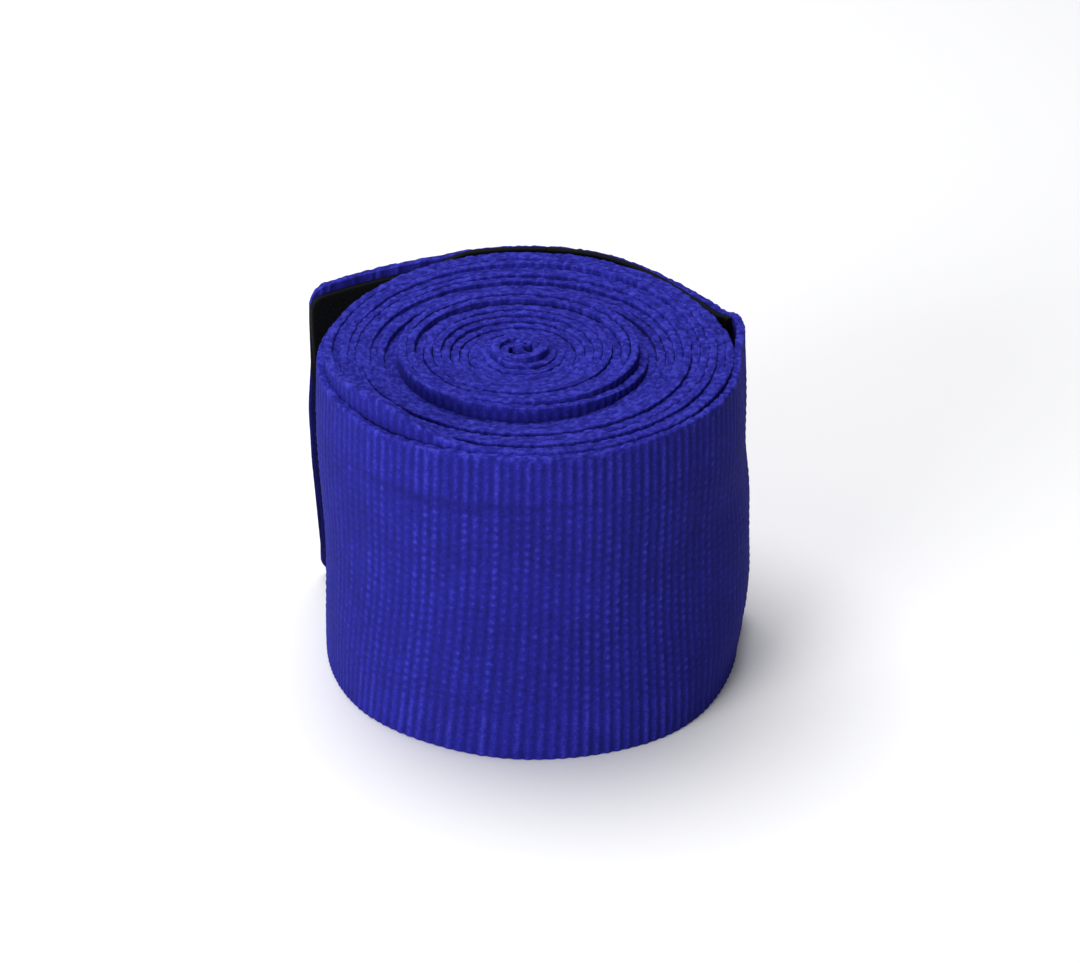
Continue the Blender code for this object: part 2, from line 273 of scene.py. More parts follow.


# Cotton and elastane, woven narrow: dull and soft. The relief attribute paints its colour: painted shade in the
# grooves, the crease, on hidden faces and between turns, and painted sheen on the raised yarns
def wovenCotton():
    look = {"Roughness": 0.92, "Specular IOR Level": 0.1, "Sheen Weight": 0.03, "Sheen Roughness": 0.5,
            "Sheen Tint": linear("#8f95ff")}
    material, tree, principled = newMaterial("wovenCottonElastane", look)
    place = addNode(tree, "ShaderNodeTexCoord")
    millimetres = addNode(tree, "ShaderNodeMapping", toMillimetres, {"Vector": place.outputs["Object"]})
    relief = addNode(tree, "ShaderNodeAttribute", {"attribute_name": "relief"})
    fuzz = addNode(tree, "ShaderNodeTexNoise", {"Scale": 2.4, "Detail": 3.0, "Roughness": 0.65},
                   {"Vector": millimetres.outputs[0]})
    fuzzTone = addNode(
        tree, "ShaderNodeMapRange", {"From Min": 0.3, "From Max": 0.7, "To Min": -0.2, "To Max": 0.2},
        {"Value": fuzz.outputs[0]},
    )
    height = addNode(
        tree, "ShaderNodeMath", {"operation": "ADD"}, {0: relief.outputs["Fac"], 1: fuzzTone.outputs[0]},
    )
    upTo = {"Value": height.outputs[0]}
    # Low relief blends towards the painted shade colour, high relief towards the painted sheen colour
    depth = addNode(tree, "ShaderNodeMapRange", {"From Min": 0.0, "From Max": 0.6}, upTo)
    raised = addNode(tree, "ShaderNodeMapRange", {"From Min": 0.6, "From Max": 1.15}, upTo)
    yarnWithShade = addNode(
        tree, "ShaderNodeMix",
        {"data_type": "RGBA", 6: linear(clothLook["paintedShade"]), 7: linear(clothLook["yarn"])},
        {0: depth.outputs[0]},
    )
    paintedSheen = addNode(tree, "ShaderNodeMix", {"data_type": "RGBA", 7: linear(clothLook["paintedSheen"])},
                    {0: raised.outputs[0], 6: yarnWithShade.outputs[2]})
    broad = addNode(
        tree, "ShaderNodeTexNoise", {"Scale": 0.12, "Detail": 2.0}, {"Vector": millimetres.outputs[0]},
    )
    broadTone = addNode(
        tree, "ShaderNodeMapRange", {"From Min": 0.3, "From Max": 0.7, "To Min": 0.92, "To Max": 1.08},
        {"Value": broad.outputs[0]},
    )
    shade = addNode(
        tree, "ShaderNodeHueSaturation", {}, {"Color": paintedSheen.outputs[2], "Value": broadTone.outputs[0]},
    )
    tree.links.new(shade.outputs[0], principled.inputs["Base Color"])
    bump = addNode(tree, "ShaderNodeBump", {"Strength": 0.45, "Distance": 0.00012}, {"Height": fuzz.outputs[0]})
    tree.links.new(bump.outputs[0], principled.inputs["Normal"])
    return material


# Woven nylon with moulded hooks: near black, a little shine from each hook
def hookNylon():
    look = {"Base Color": linear("#0c0d0f"), "Roughness": 0.8, "Specular IOR Level": 0.12}
    material, tree, principled = newMaterial("wovenNylonHookTape", look)
    layout = addNode(tree, "ShaderNodeUVMap", {"uv_map": "UVMap"})
    millimetres = addNode(tree, "ShaderNodeMapping", toMillimetres, {"Vector": layout.outputs[0]})
    weave = addNode(tree, "ShaderNodeTexChecker", {"Scale": 2.5}, {"Vector": millimetres.outputs[0]})
    fuzz = addNode(
        tree, "ShaderNodeTexNoise", {"Scale": 5.0, "Detail": 2.0}, {"Vector": millimetres.outputs[0]},
    )
    both = addNode(tree, "ShaderNodeMath", {"operation": "ADD"}, {0: weave.outputs["Fac"], 1: fuzz.outputs[0]})
    bump = addNode(tree, "ShaderNodeBump", {"Strength": 0.5, "Distance": 0.0001}, {"Height": both.outputs[0]})
    tree.links.new(bump.outputs[0], principled.inputs["Normal"])
    return material


# Brushed nylon loops: soft and dark, paler where fibre ends catch light
def loopNylon():
    look = {"Roughness": 0.9, "Specular IOR Level": 0.2, "Sheen Weight": 0.35, "Sheen Roughness": 0.4}
    material, tree, principled = newMaterial("brushedNylonLoopPile", look)
    layout = addNode(tree, "ShaderNodeUVMap", {"uv_map": "UVMap"})
    millimetres = addNode(tree, "ShaderNodeMapping", toMillimetres, {"Vector": layout.outputs[0]})
    pile = addNode(tree, "ShaderNodeTexVoronoi", {"Scale": 2.2}, {"Vector": millimetres.outputs[0]})
    tone = addNode(tree, "ShaderNodeMix", {"data_type": "RGBA", 6: linear("#26282c"), 7: linear("#101113")},
                   {0: pile.outputs[0]})
    tree.links.new(tone.outputs[2], principled.inputs["Base Color"])
    bump = addNode(tree, "ShaderNodeBump", {"Strength": 0.6, "Distance": 0.0002}, {"Height": pile.outputs[0]})
    tree.links.new(bump.outputs[0], principled.inputs["Normal"])
    return material


# Twisted polyester sewing thread, with the slight shine of filament
def sewingThread(name, colour):
    look = {"Base Color": linear(colour), "Roughness": 0.45, "Specular IOR Level": 0.4}
    material, tree, principled = newMaterial(name, look)
    place = addNode(tree, "ShaderNodeTexCoord")
    twist = addNode(tree, "ShaderNodeTexWave", {"Scale": 2500.0, "bands_direction": "DIAGONAL"},
                    {"Vector": place.outputs["Object"]})
    bump = addNode(
        tree, "ShaderNodeBump", {"Strength": 0.4, "Distance": 0.00005}, {"Height": twist.outputs["Fac"]},
    )
    tree.links.new(bump.outputs[0], principled.inputs["Normal"])
    return material


cotton = wovenCotton()
hookMaterial = hookNylon()
pileMaterial = loopNylon()
blueThread = sewingThread("polyesterThreadBlue", "#2a2a96")
blackThread = sewingThread("polyesterThreadBlack", "#141416")
print("materials made")


# The band's inner turns
wound = {
    "step": 0.0003,                    # between stations along the band
    "loops": 0.00014,                  # how far the yarn loops of an edge stand out
    "ribs": 0.00016,
    "tipHeight": 0.0011,               # the felted part of the edge
    "firstShare": 0.52,                # of the length, in the first of its two pieces
}


def arcLengths(angles, radii):
    steps = np.diff(angles) * (radii[1:] + radii[:-1]) / 2
    return np.concatenate([[0.0], np.cumsum(steps)])


# The part of a section that belongs to the felted edge, and its tone: painted shade where the edge's loops sit
# low, painted sheen where they stand high
def edgeTip(across):
    return smooth((across - (roll["width"] - wound["tipHeight"])) / wound["tipHeight"])


def edgeTone(loops, fine):
    return 0.6 + 1.15 * (0.5 * loops + 0.5 * fine - 0.5)


# The section of one inner turn along a path: a flat edge of small yarn loops, a ribbed face under it
def windStrip(name, x, y, outX, outY, low, along):
    width, edge, half = roll["width"], band["edgeRound"], band["halfThickness"]
    face = [edge, width / 2, width - 0.0034, width - 0.0020, width - wound["tipHeight"], width - edge]
    across, outward = sectionRows(face, 2, (2, 8), width, edge)
    tip = edgeTip(across)[None, :]
    sides = (outward * 1.1 + 2.0)[None, :] + 5 * np.floor(along / 0.3)[:, None]
    loops = grain((along / band["grain"])[:, None], sides, 21)
    fine = grain((along / 0.0004)[:, None], sides * 2, 22)
    cords = 0.5 - 0.5 * np.cos(along * fullTurn / band["cordPitch"])[:, None]
    edgeFace = smooth((across - (width - 0.006)) / 0.004)[None, :] * (outward > 0.9)[None, :] * (1 - tip)
    offset = outward[None, :] * half + (cords - 0.6) * wound["ribs"] * edgeFace
    offset = offset + wound["loops"] * (loops - 0.5) * tip * outward[None, :]
    foot = np.maximum(low, 0.0)[:, None]
    z = foot + across[None, :] * (width + low[:, None] - foot) / width
    z = z + wound["loops"] * (loops + 0.5 * fine - 0.9) * tip
    points = np.stack([x[:, None] + outX[:, None] * offset, y[:, None] + outY[:, None] * offset, z], axis=2)
    # Painted tone: shade on the inner and hidden faces and in the cord valleys of the face under the edge,
    # shade and sheen on the felted edge following its loops' height
    relief = 0.1 + tip * edgeTone(loops, fine) + edgeFace * (0.3 + 0.3 * cords)
    alongGrid = np.broadcast_to(along[:, None], z.shape)
    acrossGrid = np.broadcast_to(across[None, :], z.shape) + outward[None, :] * 0.0005
    return closedStrip(name, points, alongGrid, acrossGrid, relief)


def makeWound():
    pieces = []
    fine = np.linspace(bandStart, tail["cuts"][0] - 0.0005, 60000)
    lengths = arcLengths(fine, windRadius(fine))
    stations = np.arange(0, lengths[-1], wound["step"])
    stations[-1] = lengths[-1]
    angle = np.interp(stations, lengths, fine)
    radius = windRadius(angle)
    low = lift(angle, radius)
    shiftX, shiftY = coreShift(radius)
    radius = radius + 0.00003 * waves(stations, 0.02, 8)
    x = axisX + shiftX + radius * np.cos(angle)
    y = axisY + shiftY + radius * np.sin(angle)
    split = np.searchsorted(stations, stations[-1] * wound["firstShare"])
    # two pieces that share one station, so that neither has too many faces
    for number, part in enumerate((slice(0, split + 1), slice(split, None)), start=1):
        turn = angle[part]
        piece = windStrip(
            f"woundBand{number}", x[part], y[part],
            np.cos(turn), np.sin(turn), low[part], stations[part],
        )
        piece.data.materials.append(cotton)
        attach(piece, "roll")
        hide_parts("wrap_band")
        pieces.append(piece)
    print("wound band", round(float(stations[-1]), 3), "m", [len(piece.data.polygons) for piece in pieces])


# The outermost layer: last turn and tail share one line
tail = {
    "release": math.radians(108),      # where it stops following the roll
    "straighten": 0.4,                 # its bend after that, against the roll's
    "freeLength": 0.0262,
    "climb": (math.radians(-3), math.radians(21)),
    "pocket": (0.0005, math.radians(18), math.radians(7)),
    "cuts": [math.radians(degrees) for degrees in (-345, -160, 16, 49.7, 83.4, 117.1)],
    "cornerRadius": 0.0032,
}


def outerLine():
    step = 0.0001
    angles = np.arange(tail["cuts"][0], tail["release"], step / 0.031)
    start, end = tail["climb"]
    stand, middle, reach = tail["pocket"]
    radius = turnRadius(angles) + roll["tapeRoom"] * 0.93 * smooth((angles - start) / (end - start))
    radius = radius + stand * np.exp(-((angles - middle) / reach) ** 2)
    x = axisX + radius * np.cos(angles)
    y = axisY + radius * np.sin(angles)
    heading = math.atan2(y[-1] - y[-2], x[-1] - x[-2])
    count = int(tail["freeLength"] / step)
    headings = heading + np.arange(1, count + 1) * step / 0.033 * tail["straighten"]
    x = np.concatenate([x, x[-1] + np.cumsum(step * np.cos(headings))])
    y = np.concatenate([y, y[-1] + np.cumsum(step * np.sin(headings))])
    angles = np.concatenate([angles, tail["release"] + np.arange(1, count + 1) * step / 0.0331])
    tx = np.gradient(x)
    ty = np.gradient(y)
    size = np.hypot(tx, ty)
    lengths = np.concatenate([[0.0], np.cumsum(np.hypot(np.diff(x), np.diff(y)))])
    return {"length": lengths, "x": x, "y": y, "outX": ty / size, "outY": -tx / size, "angle": angles}


line = outerLine()
lineEnd = float(line["length"][-1])


def lengthAt(angle):
    return float(np.interp(angle, line["angle"], line["length"]))


# Gentle swelling of the outer layers, so the roll isn't a plain cylinder: metres, degrees and radians of reach
belly = {"out": 0.0016, "angle": -4, "reach": 0.55, "middle": 0.0175, "tall": 0.0115}
skirt = {
    "height": 0.012,
    "right": {"out": 0.0012, "angle": -52, "reach": 0.4},
    "left": {"out": -0.0004, "angle": -118, "reach": 0.5},
    "drawnIn": 0.0005,                 # everywhere but at the right
    "spared": 0.75,
}


def swell(angle, height):
    slow = 0.00030 * np.sin(height * fullTurn / 0.036 + 1.2 + 0.8 * np.sin(angle))
    broad = 0.00022 * np.sin(angle * 3 + 0.5 + height * 40) + 0.00012 * np.sin(angle * 7 + height * 90)
    fromBelly = awayFrom(angle, belly["angle"])
    rise = (height - belly["middle"]) / belly["tall"]
    bulge = belly["out"] * np.exp(-(fromBelly / belly["reach"]) ** 2 - rise ** 4)
    flare = skirt["drawnIn"] * (np.exp(-(fromBelly / skirt["spared"]) ** 2) - 1)
    for part in (skirt["right"], skirt["left"]):
        flare = flare + part["out"] * np.exp(-(awayFrom(angle, part["angle"]) / part["reach"]) ** 2)
    return slow + broad + bulge + flare * np.exp(-(height / skirt["height"]) ** 2)


def tailTop(angle):
    drawnIn = 0.0010 * smooth((angle - math.radians(21)) / math.radians(7))
    spread = 0.0015 * smooth((angle - math.radians(36)) / math.radians(38))
    return roll["width"] - drawnIn + spread - 0.0003 * smooth((angle - math.radians(104)) / math.radians(14))


def tailLow(angle):
    return 0.0003 * smooth((angle - math.radians(-8)) / math.radians(20))


# World place of a point of the outermost layer: along it, its height, and outwards from its middle
def layerPlace(along, height, offset):
    x = np.interp(along, line["length"], line["x"])
    y = np.interp(along, line["length"], line["y"])
    outX = np.interp(along, line["length"], line["outX"])
    outY = np.interp(along, line["length"], line["outY"])
    angle = np.interp(along, line["length"], line["angle"])
    away = offset + swell(angle, height)
    return np.stack([x + outX * away, y + outY * away, height], axis=-1)


cord = {
    "columns": 6,                      # across one cord
    "rowStep": 0.00036,
    "lean": 0.005,
}


def cordColumns(first, last):
    place = np.arange(first * cord["columns"], last * cord["columns"] + 1)
    numbers = place // cord["columns"]
    phases = (place % cord["columns"]) / cord["columns"]
    return numbers, phases, (0.5 - 0.5 * np.cos(fullTurn * phases)) ** 0.85


# The ribbed face: plain cords at the borders, beaded ones between, and a short crease at the front left
def cordRelief(numbers, shape, along, across, angle):
    dice = np.random.default_rng(40)
    width = roll["width"]
    strength = dice.uniform(0.7, 1.15, 400)[numbers][:, None]
    stagger = dice.uniform(-0.2, 0.2, 400)[numbers][:, None]
    long = dice.uniform(0.94, 1.07, 400)[numbers][:, None]
    inside = smooth((across - band["border"]) / 0.0015) * smooth((width - band["border"] - across) / 0.0015)
    phase = across / band["beadLength"] * long + numbers[:, None] * 0.5 + stagger
    size = grain(numbers[:, None] * 1.0, phase + 0.5, 41)
    bead = (0.5 + 0.5 * np.cos(fullTurn * phase)) * (0.5 + 0.9 * size)
    firm = 0.55 + 0.45 * np.exp(-(awayFrom(angle, -85) / 0.95) ** 4)[:, None]
    cordHeight = 0.45 * (1 - firm) + shape[:, None] * strength * firm
    relief = cordHeight * (0.9 * (1 - inside) + (0.40 + 0.62 * bead) * inside)
    # The crease is cut into the shape, and the tone made from this relief paints it in shade too
    crease = width - 0.0079 + 0.0007 * waves(along, 0.03, 51, 4) + 0.0003 * waves(along, 0.006, 52, 3)
    where = np.exp(-(awayFrom(angle, -108) / 0.5) ** 2)[:, None]
    trough = np.exp(-((across - crease) / 0.0007) ** 2) * (0.7 + 0.3 * waves(along, 0.005, 53, 3)) * where
    return relief - 0.95 * trough


def layerStrip(name, first, last, pieceEnd=None):
    width, edge, half = roll["width"], band["edgeRound"], band["halfThickness"]
    face = np.linspace(edge, width - edge, int((width - 2 * edge) / cord["rowStep"]) + 1)
    across, outward = sectionRows(face, 6, (5, 7), width, edge)
    numbers, phases, shape = cordColumns(first, last)
    along = (numbers + phases) * band["cordPitch"]
    across = np.broadcast_to(across[None, :], (len(along), len(across)))
    angle = np.interp(along, line["length"], line["angle"])
    below = 1 - across / width
    turned = smooth((angle + math.radians(190)) / math.radians(60))
    turned = turned * smooth((math.radians(-60) - angle) / math.radians(70))
    shifted = along[:, None] - cord["lean"] * turned[:, None] * below ** 2
    relief = cordRelief(numbers, shape, shifted, across, angle)
    tip = edgeTip(across)
    loops = grain((along / band["grain"])[:, None], (outward * 1.1 + 2.0)[None, :], 61)
    fine = grain((along / 0.0004)[:, None], (outward * 2.1 + 9.0)[None, :] + across / 0.0005, 62)
    face = smooth((outward[None, :] + 0.1) / 0.6)
    cordOut = band["cordHeight"] * (relief - 0.6 + 0.25 * (fine - 0.5)) * face
    inner = smooth((-outward[None, :] - 0.1) / 0.6) * band["cordHeight"] * 0.4 * (shape[:, None] - 0.5)
    offset = outward[None, :] * half + cordOut * (1 - 0.6 * tip) - inner
    offset = offset + wound["loops"] * (loops - 0.5) * tip * outward[None, :]
    low = tailLow(angle)[:, None]
    top = tailTop(angle)[:, None]
    height = low + across / width * (top - low) + wound["loops"] * (loops + 0.5 * fine - 0.9) * tip
    # Painted tone: shade on the hidden inner face, in the cord valleys and in the crease, sheen on the raised
    # beads; the fine grain adds random tone
    tone = 0.1 + (0.1 + 0.5 * np.clip(relief, 0, 1.2) + 0.2 * fine) * face * (1 - tip)
    tone = tone + tip * edgeTone(loops, fine)
    if pieceEnd is not None:
        shifted, height = roundCorner(shifted, height, pieceEnd)
        offset = offset * (0.4 + 0.6 * smooth((pieceEnd - shifted) / 0.0035))
        shifted = shifted - freeEdgeWave(shifted, height)
    points = layerPlace(shifted, height, offset)
    layout = np.broadcast_to((outward * 0.0005)[None, :], across.shape) + across
    piece = closedStrip(name, points, np.broadcast_to(along[:, None], across.shape), layout, tone)
    piece.data.materials.append(cotton)
    return piece


# Draws the last columns in, so that both corners of the free end are round
def roundCorner(along, height, end, radius=tail["cornerRadius"]):
    middle = roll["width"] / 2
    reach = np.clip(radius - (end - along), 0.0, radius)
    cut = radius - np.sqrt(np.maximum(radius ** 2 - reach ** 2, 0.0))
    scale = (middle - cut) / middle
    return along, middle + (height - middle) * scale


# How far the tail's free edge is drawn in at each height
def freeEdgeWave(along, height):
    near = smooth((along - lineEnd + 0.008) / 0.008)
    dent = 0.0008 * np.exp(-((height - 0.040) / 0.005) ** 2) + 0.0003 * waves(height, 0.014, 71, 3)
    return near * (dent + 0.0013 * smooth((0.024 - height) / 0.018))


def cutNumber(angle):
    return int(round(lengthAt(angle) / band["cordPitch"]))


def makeOuterLayer():
    numbers = [cutNumber(angle) for angle in tail["cuts"]] + [int(lineEnd / band["cordPitch"])]
    endLength = numbers[-1] * band["cordPitch"]
    names = ["outerTurnLeft", "outerTurnRight", "tailCloth1", "tailCloth2", "tailCloth3", "tailCloth4"]
    pieces = {}
    for name, first, last in zip(names, numbers, numbers[1:]):
        pieceEnd = endLength + 0.0001 if name == "tailCloth4" else None
        pieces[name] = layerStrip(name, first, last, pieceEnd)
    for name in ("outerTurnLeft", "outerTurnRight"):
        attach(pieces[name], "roll")
        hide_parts("wrap_band")
    return pieces, numbers


outerPieces, cutNumbers = makeOuterLayer()


# Bakes a piece of the tail's placement into its mesh
def bendWithTail(piece):
    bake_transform(piece)


for number in range(4):
    piece = outerPieces[f"tailCloth{number + 1}"]
    bendWithTail(piece)
    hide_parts(f"tail_band_{number + 1}")
print("outer layer", {name: len(piece.data.polygons) for name, piece in outerPieces.items()})

makeWound()


# Thumb loop: the band doubled back on itself at the core
loop = {
    "turns": 2.817,
    "draw": 0.00075,                   # how far its folded end is drawn in
    "reach": 0.55,                     # turns over which that fades
    "step": 0.0003,
    "softening": 12,                   # passes that round the fold
}


def resample(x, y, step):
    lengths = np.concatenate([[0.0], np.cumsum(np.hypot(np.diff(x), np.diff(y)))])
    stations = np.linspace(0, lengths[-1], int(lengths[-1] / step) + 1)
    return np.interp(stations, lengths, x), np.interp(stations, lengths, y), stations


def makeThumbLoop():
    eyeAngle = bandStart - loop["turns"] * fullTurn
    turns = np.linspace(eyeAngle, bandStart, 900)
    past = (turns - eyeAngle) / fullTurn
    middle = roll["startRadius"] - roll["pitch"] * (2 * (loop["turns"] - past) + 0.5)
    middle = middle - loop["draw"] * (1 - smooth(past / loop["reach"]))
    half = roll["pitch"] / 2
    outerX, outerY = (middle + half) * np.cos(turns), (middle + half) * np.sin(turns)
    kept = turns < bandStart - 0.02
    innerX, innerY = ((middle - half) * np.cos(turns))[kept], ((middle - half) * np.sin(turns))[kept]
    foldTurns = eyeAngle - np.linspace(0, math.pi, 30)[1:-1]
    foldX = middle[0] * math.cos(eyeAngle) + half * np.cos(foldTurns)
    foldY = middle[0] * math.sin(eyeAngle) + half * np.sin(foldTurns)
    x = np.concatenate([outerX[::-1], foldX, innerX])
    y = np.concatenate([outerY[::-1], foldY, innerY])
    x, y, stations = resample(x, y, loop["step"])
    for _ in range(loop["softening"]):
        x[1:-1] = (x[:-2] + 2 * x[1:-1] + x[2:]) / 4
        y[1:-1] = (y[:-2] + 2 * y[1:-1] + y[2:]) / 4
    tx, ty = np.gradient(x), np.gradient(y)
    size = np.hypot(tx, ty)
    angle = bandStart - stations / 0.006
    radius = np.hypot(x, y)
    place = lift(angle, radius)
    shiftX, shiftY = coreShift(radius)
    x = x + shiftX
    y = y + shiftY
    piece = windStrip("thumbLoop", axisX + x, axisY + y, -ty / size, tx / size, place, stations)
    piece.data.materials.append(cotton)
    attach(piece, "roll")
    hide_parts("thumb_loop")
    print("thumb loop", round(float(stations[-1]), 3), "m")


makeThumbLoop()


# Places copies of a base mesh: origins and the three directions of each, in metres
def scatter(name, base, origins, directions):
    mesh = bpy.data.meshes.new(name)
    many = bmesh.new()
    for _ in range(len(origins)):
        many.from_mesh(base)
    for face in many.faces:
        face.smooth = True
    many.to_mesh(mesh)
    many.free()
    local = np.empty(len(base.vertices) * 3)
    base.vertices.foreach_get("co", local)
    local = local.reshape(-1, 3)
    places = origins[:, None, :]
    for axis in range(3):
        places = places + local[None, :, axis, None] * directions[axis][:, None, :]
    mesh.vertices.foreach_set("co", places.ravel())
    mesh.update()
    bpy.data.meshes.remove(base)
    return newObject(name, mesh)


def layerDirections(along, height):
    here = layerPlace(along, height, np.zeros_like(along))
    ahead = layerPlace(along + 0.0005, height, np.zeros_like(along))
    forward = ahead - here
    forward = forward / np.linalg.norm(forward, axis=1)[:, None]
    up = np.tile([0.0, 0.0, 1.0], (len(along), 1))
    outward = np.cross(forward, up)
    return forward, up, outward


def turnDirections(angle):
    level = np.zeros(len(angle))
    outward = np.stack([np.cos(angle), np.sin(angle), level], axis=1)
    forward = np.stack([-np.sin(angle), np.cos(angle), level], axis=1)
    up = np.tile([0.0, 0.0, 1.0], (len(angle), 1))
    return forward, up, outward


# Directions of stitches that lie along the cloth, or across it where upright is 1
def seamDirections(directions, upright):
    forward, up, outward = directions
    return forward * (1 - upright) + up * upright, up * (1 - upright) - forward * upright, outward


# Hook tape on the tail's inner face
tape = {
    "width": 0.048,
    "thickness": 0.00075,
    "gap": 0.00004,
    "low": 0.0018,
    "margin": 0.0022,                  # from the first bend to the tape's start
    "hookPitch": 0.0012,
    "hookBend": 0.00022,
    "seamInset": 0.0015,
    "cornerRadius": 0.0022,
}
stitch = {"pitch": 0.0026, "filled": 0.9, "radius": 0.00021, "fineRadius": 0.00017}
tapeMiddle = -(band["halfThickness"] + tape["gap"] + tape["thickness"] / 2)
tapeStart = lengthAt(roll["rootAngle"]) + tape["margin"]
tapeEnd = cutNumbers[-1] * band["cordPitch"] + 0.0005


def tapeTop(angle):
    back = 0.0006 * smooth((angle - math.radians(34)) / math.radians(20))
    end = 0.0017 * smooth((angle - math.radians(106)) / math.radians(16))
    return tailTop(angle) - 0.0002 + back - end


def tapeSpan(number):
    start = tapeStart if number == 0 else cutNumbers[2 + number] * band["cordPitch"]
    end = cutNumbers[3 + number] * band["cordPitch"] if number < 3 else tapeEnd
    return start, end


def makeTape(number):
    start, end = tapeSpan(number)
    edge = 0.00025
    columns = int((end - start) / 0.0005) + 1
    along = np.linspace(start, end, columns)
    angle = np.interp(along, line["length"], line["angle"])
    face = np.linspace(edge, 1 - edge, 60)
    width = tape["width"]
    across, outward = sectionRows(face * width, 60, (3, 3), width, edge)
    top = tapeTop(angle)[:, None]
    height = tape["low"] + across[None, :] / width * (top - tape["low"])
    weave = 0.00002 * np.cos(along[:, None] * fullTurn / 0.001) * np.cos(across[None, :] * fullTurn / 0.0016)
    offset = tapeMiddle + outward[None, :] * (tape["thickness"] / 2 + weave)
    grid = np.broadcast_to(along[:, None], height.shape)
    if number == 3:
        grid, height = roundCorner(grid, height, end + 0.0001, tape["cornerRadius"])
        grid = grid - freeEdgeWave(grid, height)
        grid = grid - 0.0014 * smooth((grid - end + 0.006) / 0.005) * smooth((0.037 - height) / 0.004)
    points = layerPlace(grid, height, offset)
    layout = np.broadcast_to((across + outward * 0.0005)[None, :], height.shape)
    piece = closedStrip(f"hookTape{number + 1}", points, grid, layout, np.ones(height.shape))
    piece.data.materials.append(hookMaterial)
    bendWithTail(piece)
    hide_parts(f"hook_tape_{number + 1}")
    return piece, float(end - start)


# One moulded hook: a stem that bends over
def hookShape():
    mesh = bpy.data.meshes.new("hook")
    shape = bmesh.new()
    bmesh.ops.create_circle(shape, cap_ends=False, segments=4, radius=0.00009)
    bmesh.ops.rotate(shape, verts=shape.verts, cent=(0, 0, 0), matrix=Matrix.Rotation(math.radians(90), 3, "X"))
    bmesh.ops.spin(
        shape, geom=shape.verts[:] + shape.edges[:], cent=(tape["hookBend"], 0, 0), axis=(0, 0, 1),
        angle=math.radians(210), steps=5, use_merge=False,
    )
    bmesh.ops.scale(shape, vec=(1.0, 1.9, 1.0), verts=shape.verts)
    bmesh.ops.holes_fill(shape, edges=[edge for edge in shape.edges if edge.is_boundary], sides=0)
    bmesh.ops.recalc_face_normals(shape, faces=shape.faces[:])
    shape.to_mesh(mesh)
    shape.free()
    return mesh


def makeHooks(number):
    start, end = tapeSpan(number)
    pitch = tape["hookPitch"]
    first = start + pitch * (1.0 if number == 0 else 0.5)
    rows = np.arange(first, end - pitch / 3, pitch)
    dice = np.random.default_rng(80 + number)
    alongAll, heightAll = [], []
    for index, along in enumerate(rows):
        top = float(tapeTop(np.interp(along, line["length"], line["angle"])))
        corner = max(0.0, tape["cornerRadius"] - end + along) if number == 3 else 0.0
        bottom = tape["low"] + 0.001 + corner + (pitch / 2 if index % 2 else 0)
        heights = np.arange(bottom, top - 0.0008 - corner, pitch)
        alongAll.append(np.full(len(heights), along))
        heightAll.append(heights)
    along = np.concatenate(alongAll) + dice.normal(0, 0.00007, sum(map(len, alongAll)))
    height = np.concatenate(heightAll) + dice.normal(0, 0.00007, len(along))
    along = along - freeEdgeWave(along, height)
    forward, up, outward = layerDirections(along, height)
    side = np.where(dice.random(len(along)) < 0.5, 1.0, -1.0)[:, None]
    offset = np.full(len(along), tapeMiddle - tape["thickness"] / 2)
    origins = layerPlace(along, height, offset) - forward * tape["hookBend"] * side
    piece = scatter(f"tapeHooks{number + 1}", hookShape(), origins, (forward * side, -outward, up))
    piece.data.materials.append(hookMaterial)
    bendWithTail(piece)
    return piece


# One stitch: a short bar that dips at both ends
def stitchShape(radius, length=stitch["pitch"] * stitch["filled"]):
    mesh = bpy.data.meshes.new("stitch")
    shape = bmesh.new()
    bmesh.ops.create_uvsphere(shape, u_segments=8, v_segments=6, radius=1.0)
    bmesh.ops.scale(shape, vec=(radius, radius, length / 2), verts=shape.verts)
    bmesh.ops.rotate(shape, verts=shape.verts, cent=(0, 0, 0), matrix=Matrix.Rotation(math.radians(90), 3, "Y"))
    shape.to_mesh(mesh)
    shape.free()
    return mesh


def makeTapeStitches(number):
    start, end = tapeSpan(number)
    inset = tape["seamInset"]
    pitch = stitch["pitch"]
    first = start + (inset if number == 0 else 0)
    last = end - (inset + 0.0005 if number == 3 else 0)
    places = []
    firstNumber = math.ceil((first + pitch * 0.4) / pitch)
    lastNumber = math.floor((last - pitch * 0.4) / pitch)
    for along in np.arange(firstNumber, lastNumber + 1) * pitch:
        angle = np.interp(along, line["length"], line["angle"])
        places.append((along, tape["low"] + inset, 0))
        places.append((along, float(tailTop(angle)) - inset - 0.0014, 0))
    if number in (0, 3):
        tie = first if number == 0 else last
        for height in np.arange(tape["low"] + inset + pitch / 2, tape["width"] - inset, pitch):
            places.append((tie, height, 1))
            if number == 0:
                places.append((tie + 0.004, height, 1))
    along = np.array([place[0] for place in places])
    height = np.array([place[1] for place in places])
    upright = np.array([place[2] for place in places])[:, None]
    along = along - freeEdgeWave(along, height)
    directions = seamDirections(layerDirections(along, height), upright)
    origins = layerPlace(along, height, np.full(len(along), band["halfThickness"] - 0.00002))
    piece = scatter(f"tapeStitches{number + 1}", stitchShape(stitch["radius"]), origins, directions)
    piece.data.materials.append(blackThread)
    bendWithTail(piece)
    name = f"tape_stitching_{number + 1}"
    seams = [name] if number in (0, 3) else [f"{name}_upper", f"{name}_lower"]
    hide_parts(*seams)
    return piece


for number in range(4):
    tapePiece, tapeLength = makeTape(number)
    hooks = makeHooks(number)
    stitches = makeTapeStitches(number)
print("hook tape", round(tapeEnd - tapeStart, 4), "m")


